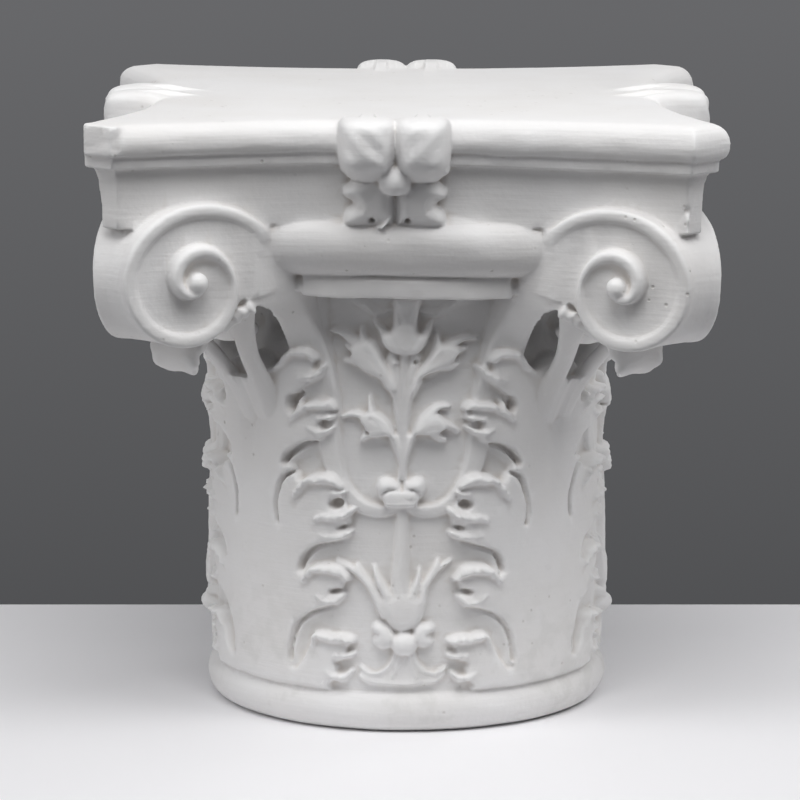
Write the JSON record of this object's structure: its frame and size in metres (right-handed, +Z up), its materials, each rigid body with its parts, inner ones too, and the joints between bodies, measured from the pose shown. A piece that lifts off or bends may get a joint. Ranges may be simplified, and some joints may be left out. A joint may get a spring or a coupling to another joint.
{
  "type": "composite column capital",
  "caption": "Plaster cast of a column capital: a round bell with acanthus leaves at its corners and plants in relief between them, and volutes under a concave-sided abacus with flowers.",
  "frame": {"origin": "centre of the flat underside of the ring that the capital stands on", "axes": "+Z up along the bell's axis; -Y towards the front, square to one side of the abacus; +X to the right as the front is looked at"},
  "size_m": [0.4992, 0.4992, 0.5045],
  "materials": {
    "plaster": "matte"
  },
  "bodies": {
    "root": {"capital": "plaster"}
  },
  "joints": []
}
